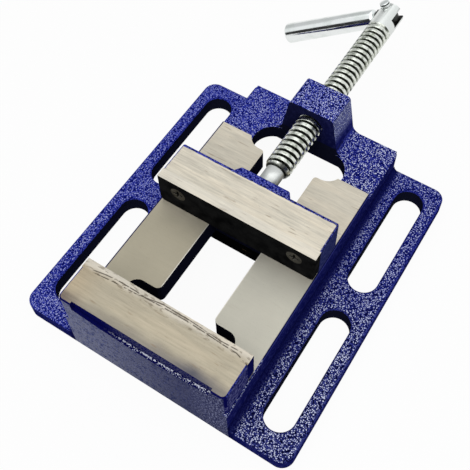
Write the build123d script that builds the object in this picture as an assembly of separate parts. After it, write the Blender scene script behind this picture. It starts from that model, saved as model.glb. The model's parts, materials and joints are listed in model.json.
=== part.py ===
from build123d import *
import os

# Drill press vise with 100 mm jaws, in millimetres.
# Origin: the middle of the four bolt slots, on the underside of the base.
# X runs along the screw towards the lever, Y runs across the jaws, Z is up.

# Base plate
plate_front = 96.6            # origin to the front end
plate_rear = 93.8             # origin to the rear end
plate_width = 171.6
plate_thickness = 11.0
plate_corner_radius = 7.5
plate_edge_chamfer = 1.0

# Bolt slots, a front and a rear one on each side, long side along X
slot_spacing_x = 92.2         # between the middles of a front and a rear slot
slot_side_margin = 8.0        # from a slot to the side of the plate
slot_width = 17.8
slot_length = 76.5
slot_rim_chamfer = 0.8

# Raised body with two rails and a rear deck
body_width = 100.6
body_corner_radius = 2.5
body_foot_radius = 4.0        # rounding where the side walls meet the plate
body_edge_chamfer = 1.0
rail_top = 33.3               # height of the ground rails above the underside
rail_thickness = 15.0
rail_gap = 34.3               # clear width between the rails
rail_end = 54.7               # origin to the rear end of the ground rails
deck_top = 28.3               # cast deck behind the rails
cavity_width = 79.0           # hollow under the rails, open below
cavity_front = 70.6           # origin to its front wall
cavity_rear = 83.4            # origin to its rear wall
cavity_corner_radius = 6.0

# Opening between the rails, wider at both ends
front_bay_width = 68.0
front_bay_end = 58.4          # origin to the end of the front bay, on the front side
front_bay_front_radius = 4.5
front_bay_rear_radius = 6.5
front_nose_radius = 3.2       # rail corners at the front bay
rear_nose_radius = 2.0        # rail corners at the rear bay
rear_bay_width = 60.8
rear_bay_start = 48.9
rear_bay_end = 72.4
rear_bay_front_radius = 9.5
rear_bay_rear_radius = 13.0

# Boss for the nut thread, with drafted sides
nut_boss_top = 57.5
nut_boss_top_width = 28.9
nut_boss_foot_width = 39.3
nut_boss_foot_radius = 6.0
nut_boss_shoulder_radius = 2.5

# Jaws and jaw plates
jaw_width = 100.0
jaw_top = 57.0
jaw_face = 70.7               # origin to the fixed clamping face, on the front side
opening = 60.1                # between the clamping faces as stored
jaw_corner_radius = 3.0
jaw_edge_chamfer = 0.8
plate_depth = 5.8             # thickness of a jaw plate
plate_gap = 0.2               # under a jaw plate, above the rails
plate_nose_radius = 3.0
scoop_side_margin = 8.0       # shallow scoop in the front of the fixed jaw, to its sides
scoop_middle_height = 46.8    # its curved lower lip, at the middle
scoop_end_height = 51.0       # and at both ends
scoop_depth = 2.0

# Countersunk screws of the jaw plates
plate_screw_inset = 12.7      # from the side of the jaw
plate_screw_height = 47.3
plate_screw_head = 9.6        # diameter across the head
plate_screw_shank = 5.0
plate_screw_length = 16.0
plate_screw_sink = 0.2        # head below the clamping face

# Moving jaw casting
moving_jaw_depth = 20.1       # without its plate
moving_jaw_edge_radius = 1.3
moving_boss_top = 51.8
moving_boss_length = 6.6      # behind the jaw
moving_boss_root_width = 38.6
moving_boss_end_width = 31.2
moving_boss_radius = 2.0
moving_boss_chamfer = 0.8

# Keeper plate under the rails, with its screws
keeper_front = 4.2            # from the moving clamping face
keeper_length = 26.8
keeper_width = 64.0
keeper_thickness = 8.0
keeper_corner_radius = 3.0
keeper_screw_shank = 6.0
keeper_screw_spacing = 22.0
keeper_screw_place = 17.5     # from the moving clamping face
keeper_screw_flats = 10.0
keeper_screw_head_height = 4.0
keeper_screw_reach = 12.0     # into the tongue
keeper_washer_diameter = 12.0
keeper_washer_thickness = 1.2

# Lead screw
screw_height = 44.75
screw_diameter = 16.0
neck_diameter = 11.5
neck_start = 14.45            # from the moving clamping face
neck_chamfer = 0.8
thread_start = 43.5
head_end = 192.6
head_chamfer = 1.0
groove_place = 25.1           # middle of the retaining groove
groove_width = 4.2
groove_diameter = 8.5
retaining_pin_diameter = 4.0
retaining_pin_top = 49.5
thrust_button_thickness = 2.0

# Fork, pivot pin and lever
screw_turn = 30.3             # the fork's slot dips this far below level, degrees
fork_root = 179.0             # from the moving clamping face
fork_slot = 6.0
pivot_place = 188.2
pivot_diameter = 5.0
pivot_seat = 7.2              # screw axis to the flat under the washer
pivot_tail = 7.6              # screw axis to the plain end
pivot_head_diameter = 6.4
pivot_head_height = 3.4
pivot_head_chamfer = 0.8
pivot_washer_diameter = 6.9
pivot_washer_thickness = 0.8
lever_fold = 11.7             # past square, towards the base, degrees
lever_length = 77.6           # from the pivot to the free end
lever_shoulder = 9.2          # from the pivot to the start of the round bar
lever_root_diameter = 12.7
lever_tip_diameter = 13.9
lever_shoulder_chamfer = 2.4
lever_tip_chamfer = 1.0
tongue_width = 11.0

# Clearances
slide_clearance = 0.05        # between faces that slide
pin_clearance = 0.05          # radial, between round parts that turn
groove_clearance = 0.10       # round the retaining pins
seat_clearance = 0.02         # radial, round parts that are fixed in a hole

# Places worked out from the sizes above
slot_y = plate_width / 2 - slot_side_margin - slot_width / 2
plate_screw_y = jaw_width / 2 - plate_screw_inset
moving_face = opening - jaw_face
moving_back = moving_face + plate_depth + moving_jaw_depth
moving_boss_end = moving_back + moving_boss_length
tongue_bottom = rail_top - rail_thickness - slide_clearance
rail_underside = rail_top - rail_thickness
plate_bottom = rail_top + plate_gap
plate_height = jaw_top - plate_bottom
plate_screw_places = [-plate_screw_y, plate_screw_y]
keeper_screw_places = [-keeper_screw_spacing / 2, keeper_screw_spacing / 2]
keeper_screw_x = moving_face + keeper_screw_place
tool_overrun = 1.0            # how far a cut runs past the face it opens
same_place = 0.01             # nearer than this, two places are the same


def block(x_low, x_high, width, z_low, z_high):
    """Box between two X places and two heights, centred on the middle plane."""
    middle = Pos((x_low + x_high) / 2, 0, (z_low + z_high) / 2)
    return middle * Box(x_high - x_low, width, z_high - z_low)


def plan(x_low, x_high, width):
    """Rectangle seen from above, centred on the middle plane."""
    return Pos((x_low + x_high) / 2, 0) * Rectangle(x_high - x_low, width)


def corners(sketch, x_place, y_place):
    """The corner points of a sketch at x_place and at y_place on both sides."""
    def is_there(point):
        near_x = abs(point.X - x_place) < same_place
        return near_x and abs(abs(point.Y) - y_place) < same_place
    return [point for point in sketch.vertices() if is_there(point)]


def rod(x_low, x_high, radius, y=0.0, z=screw_height):
    """Cylinder along X."""
    return Pos((x_low + x_high) / 2, y, z) * Rot(Y=90) * Cylinder(radius, x_high - x_low)


def post(x, y, z_low, z_high, radius):
    """Cylinder along Z."""
    return Pos(x, y, (z_low + z_high) / 2) * Cylinder(radius, z_high - z_low)


def top_edges(solid):
    """Edges round the highest flat face."""
    return solid.faces().sort_by(Axis.Z)[-1].edges()


def base_plate():
    """Base plate with round corners and bevelled upper edges."""
    outline = plan(-plate_front, plate_rear, plate_width)
    outline = fillet(outline.vertices(), plate_corner_radius)
    plate = extrude(outline, plate_thickness)
    return chamfer(top_edges(plate), plate_edge_chamfer)


def bolt_slots():
    """Cutters for the four long slots, with chamfered upper rims."""
    hole = extrude(SlotOverall(slot_length, slot_width), rail_top + tool_overrun)
    grow = 2 * slot_rim_chamfer
    rim = SlotOverall(slot_length + grow, slot_width + grow)
    rim = extrude(rim, -slot_rim_chamfer, taper=45)
    slots = []
    for x in (-slot_spacing_x / 2, slot_spacing_x / 2):
        for y in (-slot_y, slot_y):
            slots.append(Pos(x, y, -tool_overrun) * hole)
            slots.append(Pos(x, y, plate_thickness) * rim)
    return slots


def body_feet():
    """Concave roundings along both side walls, where they meet the plate."""
    feet = []
    length = plate_front + plate_rear - 2 * plate_edge_chamfer
    for side in (-1, 1):
        y_wall = side * body_width / 2
        corner = Pos(y_wall + side * body_foot_radius / 2, plate_thickness + body_foot_radius / 2)
        foot = corner * Rectangle(body_foot_radius, body_foot_radius)
        centre = Pos(y_wall + side * body_foot_radius, plate_thickness + body_foot_radius)
        foot -= centre * Circle(body_foot_radius)
        start = Plane.YZ.offset(-plate_front + plate_edge_chamfer)
        feet.append(extrude(start * foot, length))
    return feet


def rail_body():
    """Raised body: the deck over its whole length and the higher rails in front."""
    outline = plan(-plate_front, plate_rear, body_width)
    outline = fillet(corners(outline, plate_rear, body_width / 2), body_corner_radius)
    deck = extrude(outline, deck_top)
    deck = chamfer(top_edges(deck), body_edge_chamfer)
    return deck + block(-plate_front, rail_end, body_width, 0, rail_top)


def nut_boss():
    """Boss for the screw: drafted sides, rounded shoulders and wide concave feet."""
    top = nut_boss_top_width / 2
    foot = nut_boss_foot_width / 2
    sides = Polygon(
        (-foot, deck_top),
        (foot, deck_top),
        (top, nut_boss_top),
        (-top, nut_boss_top),
        align=None,
    )
    floor_width = body_width - 2 * body_edge_chamfer
    floor_height = deck_top - rail_underside
    outline = sides + Pos(0, deck_top - floor_height / 2) * Rectangle(floor_width, floor_height)
    for side in (-1, 1):
        outline = fillet(corners(outline, side * foot, deck_top), nut_boss_foot_radius)
        outline = fillet(corners(outline, side * top, nut_boss_top), nut_boss_shoulder_radius)
    return extrude(Plane.YZ.offset(rear_bay_end) * outline, plate_rear - rear_bay_end)


def fixed_jaw():
    """Upright fixed jaw, with a shallow scoop in its front that is open at the top."""
    back = -jaw_face - plate_depth
    outline = plan(-plate_front, back, jaw_width)
    outline = fillet(corners(outline, -plate_front, jaw_width / 2), jaw_corner_radius)
    jaw = extrude(outline, jaw_top)
    rim = [edge for edge in top_edges(jaw) if edge.center().X < back - same_place]
    jaw = chamfer(rim, jaw_edge_chamfer)
    side = jaw_width / 2 - scoop_side_margin
    above = jaw_top + tool_overrun
    left, right = (-side, scoop_end_height), (side, scoop_end_height)
    scoop = ThreePointArc(left, (0, scoop_middle_height), right)
    scoop += Polyline(right, (side, above), (-side, above), left)
    jaw -= extrude(Plane.YZ.offset(-plate_front) * make_face(scoop), scoop_depth)
    for y in plate_screw_places:
        reach = -jaw_face - plate_screw_sink - plate_screw_length
        jaw -= rod(reach, back, plate_screw_shank / 2 + seat_clearance, y, plate_screw_height)
    return jaw


def rail_opening():
    """Opening between the rails, with a wider bay at each end."""
    gap = plan(-cavity_front, rear_bay_end, rail_gap)
    gap += plan(-cavity_front, -front_bay_end, front_bay_width)
    gap += plan(rear_bay_start, rear_bay_end, rear_bay_width)
    gap = fillet(corners(gap, -cavity_front, front_bay_width / 2), front_bay_front_radius)
    gap = fillet(corners(gap, -front_bay_end, front_bay_width / 2), front_bay_rear_radius)
    gap = fillet(corners(gap, -front_bay_end, rail_gap / 2), front_nose_radius)
    gap = fillet(corners(gap, rear_bay_start, rail_gap / 2), rear_nose_radius)
    gap = fillet(corners(gap, rear_bay_start, rear_bay_width / 2), rear_bay_front_radius)
    gap = fillet(corners(gap, rear_bay_end, rear_bay_width / 2), rear_bay_rear_radius)
    depth = rail_thickness + tool_overrun
    return extrude(Pos(0, 0, rail_underside) * gap, depth)


def rail_cavity():
    """Hollow under the rails, open below, for the keeper plate and its screws."""
    outline = plan(-cavity_front, cavity_rear, cavity_width)
    outline = fillet(outline.vertices(), cavity_corner_radius)
    return extrude(Pos(0, 0, -tool_overrun) * outline, rail_underside + tool_overrun)


def base_casting():
    """Plate, rails, deck, nut boss and fixed jaw in one casting."""
    casting = base_plate() + rail_body() + body_feet()
    casting = casting + nut_boss() + fixed_jaw()
    casting -= rail_opening()
    casting -= rail_cavity()
    nut_radius = screw_diameter / 2 + pin_clearance
    casting -= rod(rear_bay_end - tool_overrun, plate_rear + tool_overrun, nut_radius)
    for slot in bolt_slots():
        casting -= slot
    return casting


def plate_screw(rise=0.0):
    """Countersunk screw along X, the top of its head at the origin. Its hole's cone rises on."""
    head = plate_screw_head / 2
    shank = plate_screw_shank / 2
    profile = Polygon(
        (-rise, 0),
        (-rise, head + rise),
        (head - shank, shank),
        (plate_screw_length, shank),
        (plate_screw_length, 0),
        align=None,
    )
    return revolve(profile, Axis.X)


def jaw_plate():
    """Jaw plate with countersunk holes. Its clamping face is at x = 0 and it lies behind it."""
    outline = Rectangle(jaw_width, plate_height)
    lower = [point for point in outline.vertices() if point.Y < 0]
    outline = fillet(lower, plate_nose_radius)
    outline = Plane.YZ * Pos(0, plate_bottom + plate_height / 2) * outline
    plate = extrude(outline, plate_depth)
    shank_hole = plate_screw_shank / 2 + seat_clearance
    for y in plate_screw_places:
        plate -= rod(-tool_overrun, plate_depth + tool_overrun, shank_hole, y, plate_screw_height)
        head = Pos(plate_screw_sink, y, plate_screw_height)
        plate -= head * plate_screw(plate_screw_sink + tool_overrun)
    return plate


def moving_jaw():
    """Sliding jaw with its rear boss and the tongue that runs between the rails."""
    front = moving_face + plate_depth
    bottom = rail_top + slide_clearance
    jaw = block(front, moving_back, jaw_width, bottom, jaw_top)
    rim = top_edges(jaw) + jaw.edges().filter_by(Axis.Z)
    rim = [edge for edge in rim if edge.center().X > front + same_place]
    jaw = fillet(rim, moving_jaw_edge_radius)

    root = moving_boss_root_width / 2
    end = moving_boss_end_width / 2
    overlap = 2 * moving_jaw_edge_radius
    outline = Polygon(
        (moving_back - overlap, -root),
        (moving_back + moving_jaw_edge_radius, -root),
        (moving_boss_end, -end),
        (moving_boss_end, end),
        (moving_back + moving_jaw_edge_radius, root),
        (moving_back - overlap, root),
        align=None,
    )
    outline = fillet(corners(outline, moving_boss_end, end), moving_boss_radius)
    boss = extrude(Pos(0, 0, bottom) * outline, moving_boss_top - bottom)
    rim = [edge for edge in top_edges(boss) if edge.center().X > moving_back]
    boss = chamfer(rim, moving_boss_chamfer)

    tongue_width = rail_gap - 2 * slide_clearance
    tongue = block(front, moving_boss_end, tongue_width, tongue_bottom, bottom)
    jaw = jaw + boss + tongue

    bore_end = moving_face + neck_start - slide_clearance - thrust_button_thickness
    jaw -= rod(bore_end, moving_boss_end + tool_overrun, neck_diameter / 2 + pin_clearance)
    for y in plate_screw_places:
        reach = moving_face + plate_screw_sink + plate_screw_length
        jaw -= rod(front, reach, plate_screw_shank / 2 + seat_clearance, y, plate_screw_height)
    for y in keeper_screw_places:
        reach = tongue_bottom + keeper_screw_reach
        radius = keeper_screw_shank / 2 + seat_clearance
        jaw -= post(keeper_screw_x, y, tongue_bottom, reach, radius)
    for pin in retaining_pins(seat_clearance):
        jaw -= pin
    return jaw


def retaining_pins(extra=0.0):
    """Two upright pins, one on each side of the neck, in its groove."""
    radius = retaining_pin_diameter / 2
    y_place = groove_diameter / 2 + groove_clearance + radius
    x_place = moving_face + groove_place
    return [
        post(x_place, side * y_place, tongue_bottom, retaining_pin_top, radius + extra)
        for side in (-1, 1)
    ]


def keeper_plate():
    """Plate under the rails, held to the tongue."""
    start = moving_face + keeper_front
    outline = plan(start, start + keeper_length, keeper_width)
    outline = fillet(outline.vertices(), keeper_corner_radius)
    for y in keeper_screw_places:
        outline -= Pos(keeper_screw_x, y) * Circle(keeper_screw_shank / 2 + seat_clearance)
    return extrude(Pos(0, 0, tongue_bottom - keeper_thickness) * outline, keeper_thickness)


def keeper_washer(y):
    """Plain washer under a keeper screw."""
    ring = Circle(keeper_washer_diameter / 2) - Circle(keeper_screw_shank / 2 + seat_clearance)
    bottom = tongue_bottom - keeper_thickness - keeper_washer_thickness
    return extrude(Pos(keeper_screw_x, y, bottom) * ring, keeper_washer_thickness)


def keeper_screw(y):
    """Hexagon screw that comes up through the keeper plate into the tongue."""
    head_top = tongue_bottom - keeper_thickness - keeper_washer_thickness
    head = RegularPolygon(keeper_screw_flats / 2, 6, major_radius=False)
    head = Pos(keeper_screw_x, y, head_top - keeper_screw_head_height) * head
    head = extrude(head, keeper_screw_head_height)
    reach = tongue_bottom + keeper_screw_reach
    return head + post(keeper_screw_x, y, head_top, reach, keeper_screw_shank / 2)


def thrust_button():
    """Disc at the blind end of the jaw's bore, which the screw pushes on."""
    end = moving_face + neck_start - slide_clearance
    return rod(end - thrust_button_thickness, end, neck_diameter / 2 + pin_clearance - seat_clearance)


def at_fork(piece):
    """Place a piece made round the pivot: X along the screw, Z along the pivot pin."""
    return Pos(moving_face + pivot_place, 0, screw_height) * Rot(X=-screw_turn) * piece


def lead_screw():
    """Screw with a grooved neck, its thread at full diameter, a plain head and a fork."""
    neck = neck_diameter / 2
    full = screw_diameter / 2
    groove = groove_diameter / 2
    groove_low = groove_place - groove_width / 2
    groove_high = groove_place + groove_width / 2
    profile = Polygon(
        (neck_start, 0),
        (neck_start, neck - neck_chamfer),
        (neck_start + neck_chamfer, neck),
        (groove_low, neck),
        (groove_low, groove),
        (groove_high, groove),
        (groove_high, neck),
        (thread_start, neck),
        (thread_start + full - neck, full),
        (head_end - head_chamfer, full),
        (head_end, full - head_chamfer),
        (head_end, 0),
        align=None,
    )
    screw = revolve(Pos(-pivot_place, 0) * profile, Axis.X)
    fork_length = head_end - fork_root + tool_overrun
    gap = Pos(fork_root - pivot_place + fork_length / 2, 0, 0)
    screw -= gap * Box(fork_length, screw_diameter + tool_overrun, fork_slot)
    screw -= Cylinder(pivot_diameter / 2 + seat_clearance, screw_diameter + tool_overrun)
    flat = Pos(0, 0, pivot_seat + screw_diameter / 2)
    screw -= flat * Cylinder(pivot_washer_diameter / 2 + pin_clearance, screw_diameter)
    return at_fork(screw)


def pivot_pin():
    """Pin across the fork, with a round head that has a chamfered edge."""
    shank = pivot_diameter / 2
    head = pivot_head_diameter / 2
    head_bottom = pivot_seat + pivot_washer_thickness
    profile = Polygon(
        (0, -pivot_tail),
        (shank, -pivot_tail),
        (shank, head_bottom),
        (head, head_bottom),
        (head, head_bottom + pivot_head_height),
        (0, head_bottom + pivot_head_height),
        align=None,
    )
    rim = [p for p in profile.vertices() if p.Y > head_bottom + same_place and p.X > same_place]
    profile = chamfer(rim, pivot_head_chamfer)
    return at_fork(revolve(Plane.XZ * profile, Axis.Z))


def pivot_washer():
    """Thin washer between the pin's head and the fork."""
    ring = Circle(pivot_washer_diameter / 2) - Circle(pivot_diameter / 2 + seat_clearance)
    return at_fork(extrude(Pos(0, 0, pivot_seat) * ring, pivot_washer_thickness))


def lever():
    """Round lever that widens towards its free end, with a flat tongue on the pivot pin."""
    root = lever_root_diameter / 2
    tip = lever_tip_diameter / 2
    profile = Polygon(
        (lever_shoulder, 0),
        (lever_shoulder, root),
        (lever_length, tip),
        (lever_length, 0),
        align=None,
    )
    outer = [point for point in profile.vertices() if point.Y > same_place]
    shoulder = min(outer, key=lambda point: point.X)
    profile = chamfer(shoulder, lever_shoulder_chamfer)
    end = [point for point in profile.vertices() if abs(point.Y - tip) < same_place]
    profile = chamfer(end, lever_tip_chamfer)
    bar = revolve(profile, Axis.X)
    tongue_thickness = fork_slot - 2 * slide_clearance
    tongue = Circle(tongue_width / 2) + plan(0, 2 * lever_shoulder, tongue_width)
    tongue -= Circle(pivot_diameter / 2 + pin_clearance)
    bar += extrude(tongue, tongue_thickness / 2, both=True)
    return at_fork(Rot(Z=90 + lever_fold) * bar)


def write_parts():
    """One STEP file for each piece."""
    pieces = {
        "base_casting": base_casting(),
        "moving_jaw": moving_jaw(),
        "keeper_plate": keeper_plate(),
        "thrust_button": thrust_button(),
        "lead_screw": lead_screw(),
        "pivot_pin": pivot_pin(),
        "pivot_washer": pivot_washer(),
        "lever": lever(),
    }
    fixed_place = Pos(-jaw_face, 0, 0) * Rot(Z=180)
    moving_place = Pos(moving_face, 0, 0)
    for name, place in (("fixed", fixed_place), ("moving", moving_place)):
        pieces[name + "_jaw_plate"] = place * jaw_plate()
        for number, y in enumerate(plate_screw_places, 1):
            head = Pos(plate_screw_sink, y, plate_screw_height)
            pieces[f"{name}_plate_screw_{number}"] = place * head * plate_screw()
    for number, y in enumerate(keeper_screw_places, 1):
        pieces[f"keeper_screw_{number}"] = keeper_screw(y)
        pieces[f"keeper_washer_{number}"] = keeper_washer(y)
    for number, pin in enumerate(retaining_pins(), 1):
        pieces[f"retaining_pin_{number}"] = pin
    os.makedirs("parts", exist_ok=True)
    for name, piece in pieces.items():
        export_step(piece, f"parts/{name}.step")


write_parts()
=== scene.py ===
import json
import math
from types import SimpleNamespace

import bmesh
import bpy
import numpy as np
from mathutils import Matrix, Vector


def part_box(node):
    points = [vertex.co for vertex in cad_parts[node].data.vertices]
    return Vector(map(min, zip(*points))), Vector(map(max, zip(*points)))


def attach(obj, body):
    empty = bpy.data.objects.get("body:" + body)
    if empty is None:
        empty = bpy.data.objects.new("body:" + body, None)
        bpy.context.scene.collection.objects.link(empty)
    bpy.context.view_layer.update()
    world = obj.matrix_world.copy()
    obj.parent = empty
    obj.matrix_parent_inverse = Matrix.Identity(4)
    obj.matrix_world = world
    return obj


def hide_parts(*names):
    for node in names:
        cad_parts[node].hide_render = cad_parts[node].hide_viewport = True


# Drill press vise with 100 mm jaws. Metres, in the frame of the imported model:
# X along the screw towards the lever, Y across the jaws, Z up from the table.

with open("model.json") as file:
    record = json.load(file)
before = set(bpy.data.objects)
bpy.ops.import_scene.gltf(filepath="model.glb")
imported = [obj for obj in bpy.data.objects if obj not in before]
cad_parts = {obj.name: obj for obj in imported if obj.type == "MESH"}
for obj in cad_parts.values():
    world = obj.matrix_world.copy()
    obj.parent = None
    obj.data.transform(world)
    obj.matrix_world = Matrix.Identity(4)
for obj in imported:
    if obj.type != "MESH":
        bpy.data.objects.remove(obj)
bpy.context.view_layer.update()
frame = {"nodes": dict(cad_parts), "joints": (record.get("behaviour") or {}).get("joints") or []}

MM = 0.001


def span(start, end, place=0.0):
    """Start and end of a change in millimetres, counted from a place, as metres."""
    return place + start * MM, place + end * MM


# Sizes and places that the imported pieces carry
casting_low, casting_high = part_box("base_casting")
fixed_plate_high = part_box("fixed_jaw_plate")[1]
moving_plate_low, moving_plate_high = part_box("moving_jaw_plate")
jaw_top = moving_plate_high.z
rail_top = moving_plate_low.z - 0.2 * MM
moving_face = moving_plate_low.x
fixed_face = fixed_plate_high.x
front_end = casting_low.x
joints = {joint["name"]: joint for joint in frame["joints"]}
screw_axis = joints["screw_turn"]["pos_m"][2]
pivot = Vector(joints["lever_fold"]["pos_m"])
pin_axis = Vector(joints["lever_fold"]["axis"])

# Thread of the screw
thread_pitch = 4.0 * MM
thread_major = 8.0 * MM
thread_minor = 6.1 * MM
thread_crest = 2.1 * MM
thread_flank = 0.5 * MM
thread_softness = 0.12 * MM  # small slope that rounds each edge of the profile
thread_start = moving_face + 43.5 * MM
thread_end = moving_face + 172.0 * MM
thread_entry = 0.9  # rise of the first turn's cone at the neck
thread_runout = 0.75  # fall of the last turn's cone at the head
thread_steps = 60  # points round each turn

# Fork, rounded lever and the dome of its pin
fork_root = moving_face + 179.0 * MM
fork_half_gap = 3.02 * MM
lever_fold = math.radians(11.7)
lever_length = 77.6 * MM
lever_shoulder = 9.2 * MM
lever_root = 6.35 * MM
lever_tip = 6.95 * MM
lever_shoulder_round = 3.0 * MM
lever_tip_round = 1.2 * MM
tongue_overlap = 0.3 * MM  # how far the tongue goes into the round bar
pin_shank = 2.5 * MM
pin_tail = 7.6 * MM
pin_tail_chamfer = 0.3 * MM
pin_head = 3.2 * MM
pin_head_bottom = 8.0 * MM
pin_head_top = 11.4 * MM
pin_groove_height = 1.7 * MM
pin_groove_depth = 0.45 * MM
pin_dome_steps = 12
rounding_steps = 10

# Countersunk screws with a cross recess
plate_screw_head = 4.8 * MM
plate_screw_shank = 2.5 * MM
plate_screw_length = 16.0 * MM
plate_screw_turn = math.radians(22)
cross_half_width = 0.62 * MM
cross_reach = 2.7 * MM
cross_depth = 1.6 * MM
cross_wall_slope = 0.25 * MM
cross_end_slope = 0.5 * MM
cross_rings = 44  # rings of points that carry the recess
cross_ring_points = 96
cross_middle = 0.04 * MM  # radius of the innermost ring

# Bolt slots of the plate: middle of one, half its straight part, its end radius
slot_place = Vector((46.1, 68.9)) * MM
slot_straight = 29.35 * MM
slot_radius = 8.9 * MM

# Where the finish of the castings changes: start and end of each change
front_to_rear = span(-60, 70)
right_to_left = span(-60, 55)
shade_to_left = span(-80, 30)
plate_to_body = span(14, 16)
body_to_deck = span(24, 28)
body_to_jaw = span(34, 36)
boss_side_rise = span(36, 46)
scoop_rise = span(42, 44)
bead_glint_rise = span(44, 46)
boss_top_rise = span(52, 54)
jaw_rim_rise = span(53, 54)
jaw_foot = span(-66, -62)
rail_edge_start = span(-64, -61)
rail_foot_flecks = span(51.5, 55.5)
rail_foot_shade = span(52, 55.5)
front_rails = span(-25, 15)
reflection_front_side = span(50.2, 50.6)
reflection_front_depth = span(1.4, 1.8, front_end)
bare_rail_side = span(49.5, 49.8)
plate_joint = -76.5 * MM  # where the casting meets the fixed jaw plate, along X
clamping_edge = -70.5 * MM
light_edge_start = -74.5 * MM
wall_mottle = 30  # how much lighter than the wall its light spots are, of 255
hammer_grain = 1100.0  # tops of the hammered paint along a metre
glint_edge = (0.28, 0.38)  # where a top's painted glint ends, in shares of the spacing
hollow_edge = (0.42, 0.72)  # where the deep blue between the tops begins

# Which way a face looks: ranges of the part of its normal along X, Y or Z
square_on = (-0.95, -0.8)
nearly_square_on = (-0.9, -0.7)
steep = (0.1, 0.5)
steep_in_opening = (0.1, 0.6)
boss_side_lean = (0.1, 0.4)
facing_up = (0.35, 0.9)
level_face = (0.9, 0.99)

# Camera, found from the straight edges of the photograph
camera_place = (-193.51 * MM, -126.99 * MM, 428.92 * MM)
camera_azimuth = 31.554
camera_elevation = 56.078
camera_roll = -0.274
image_size = 470.0
focal_length_pixels = 813.98
optical_centre = (257.54, 173.19)
sensor_width = 36.0

# Floor, room and lamps
floor_half_size = 3.0
floor_level = -0.05 * MM
floor_glow = 0.95  # share of plain white in what the camera sees of the floor
room_light = 0.38
dim_side = (-0.75, -0.46, 0.47)
dark_panel = (-0.88, 0.44, 0.10)
grey_panel = (0.5, 0.82, 0.27)
lamp_target = (0.0, 0.0, 0.02)


def smooth_by_angle(mesh, degrees=35):
    """Soft shading, with edges sharper than the angle kept crisp."""
    mesh.shade_smooth()
    mesh.set_sharp_from_angle(angle=math.radians(degrees))


def show(name, mesh, body, material, node):
    """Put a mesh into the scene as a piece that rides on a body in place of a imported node."""
    piece = bpy.data.objects.new(name, mesh)
    bpy.context.scene.collection.objects.link(piece)
    mesh.materials.clear()
    mesh.materials.append(material)
    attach(piece, body)
    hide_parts(node)


def grid_mesh(name, points, wrap_columns=True):
    """Mesh over a grid of points. Wrapped columns run round the shape and close on themselves,
    and the first and last rows are then closed with one face each."""
    rows, columns = points.shape[:2]
    place = np.arange(rows * columns).reshape(rows, columns)
    here = place if wrap_columns else place[:, :-1]
    beside = np.roll(place, -1, axis=1) if wrap_columns else place[:, 1:]
    quads = np.stack([here[:-1], here[1:], beside[1:], beside[:-1]], axis=-1).reshape(-1, 4)
    faces = quads.tolist()
    if wrap_columns:
        faces.append(place[0].tolist())
        faces.append(place[-1][::-1].tolist())
    mesh = bpy.data.meshes.new(name)
    mesh.from_pydata(points.reshape(-1, 3).tolist(), [], faces)
    return mesh


def outward(mesh):
    """Merge doubled points and turn every face outwards."""
    merge = 1e-7
    shell = bmesh.new()
    shell.from_mesh(mesh)
    bmesh.ops.remove_doubles(shell, verts=shell.verts, dist=merge)
    bmesh.ops.dissolve_degenerate(shell, edges=shell.edges, dist=merge)
    bmesh.ops.recalc_face_normals(shell, faces=shell.faces)
    shell.to_mesh(mesh)
    shell.free()
    return mesh


def merged_copy(node, name, *cuts):
    """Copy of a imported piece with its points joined. Each cut is a place and a direction: what
    lies beyond the place in that direction is taken off, and the end is capped."""
    mesh = frame["nodes"][node].data.copy()
    mesh.name = name
    shell = bmesh.new()
    shell.from_mesh(mesh)
    bmesh.ops.remove_doubles(shell, verts=shell.verts, dist=1e-6)
    for place, direction in cuts:
        everything = shell.verts[:] + shell.edges[:] + shell.faces[:]
        cut = bmesh.ops.bisect_plane(shell, geom=everything, plane_co=place, plane_no=direction,
                                     clear_outer=True)
        rim = [part for part in cut["geom_cut"] if isinstance(part, bmesh.types.BMEdge)]
        bmesh.ops.contextual_create(shell, geom=rim)
    shell.to_mesh(mesh)
    shell.free()
    smooth_by_angle(mesh)
    return mesh


# Shader helpers


def set_inputs(tree, node, inputs):
    """Fill a node's inputs with links or plain values."""
    for key, value in inputs.items():
        if isinstance(value, bpy.types.NodeSocket):
            tree.links.new(value, node.inputs[key])
        else:
            node.inputs[key].default_value = value


def add(tree, kind, inputs=None, **settings):
    """Add a node, set its properties and fill its inputs."""
    made = tree.nodes.new(kind)
    for name, value in settings.items():
        setattr(made, name, value)
    set_inputs(tree, made, inputs or {})
    return made


def math_node(tree, operation, first, second=0.0, third=0.0, clamp=False):
    """One arithmetic step."""
    made = add(tree, "ShaderNodeMath", {0: first, 1: second, 2: third}, operation=operation, use_clamp=clamp)
    return made.outputs[0]


def times(tree, *factors):
    """Several values or masks multiplied together."""
    result = factors[0]
    for factor in factors[1:]:
        result = math_node(tree, "MULTIPLY", result, factor)
    return result


def plus(tree, first, second):
    """Sum of two values."""
    return math_node(tree, "ADD", first, second)


def minus(tree, first, second):
    """Difference of two values."""
    return math_node(tree, "SUBTRACT", first, second)


def opposite(tree, mask):
    """1 minus a mask."""
    return minus(tree, 1.0, mask)


def size_of(tree, value):
    """A value without its sign."""
    return math_node(tree, "ABSOLUTE", value)


def largest(tree, *masks):
    """The largest of several masks."""
    result = masks[0]
    for mask in masks[1:]:
        result = math_node(tree, "MAXIMUM", result, mask)
    return result


def distance(tree, first, second):
    """Distance that two lengths square to each other span."""
    squares = [times(tree, part, part) for part in (first, second)]
    return math_node(tree, "SQRT", plus(tree, *squares))


def remap(tree, value, low, high, new_low=0.0, new_high=1.0, smooth=True):
    """Map a value from one range to another, clamped."""
    inputs = {0: value, 1: low, 2: high, 3: new_low, 4: new_high}
    kind = "SMOOTHSTEP" if smooth else "LINEAR"
    return add(tree, "ShaderNodeMapRange", inputs, interpolation_type=kind).outputs[0]


def rising(tree, value, change, full=1.0):
    """Mask from 0 before a change to full behind it."""
    return remap(tree, value, *change, 0.0, full)


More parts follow.
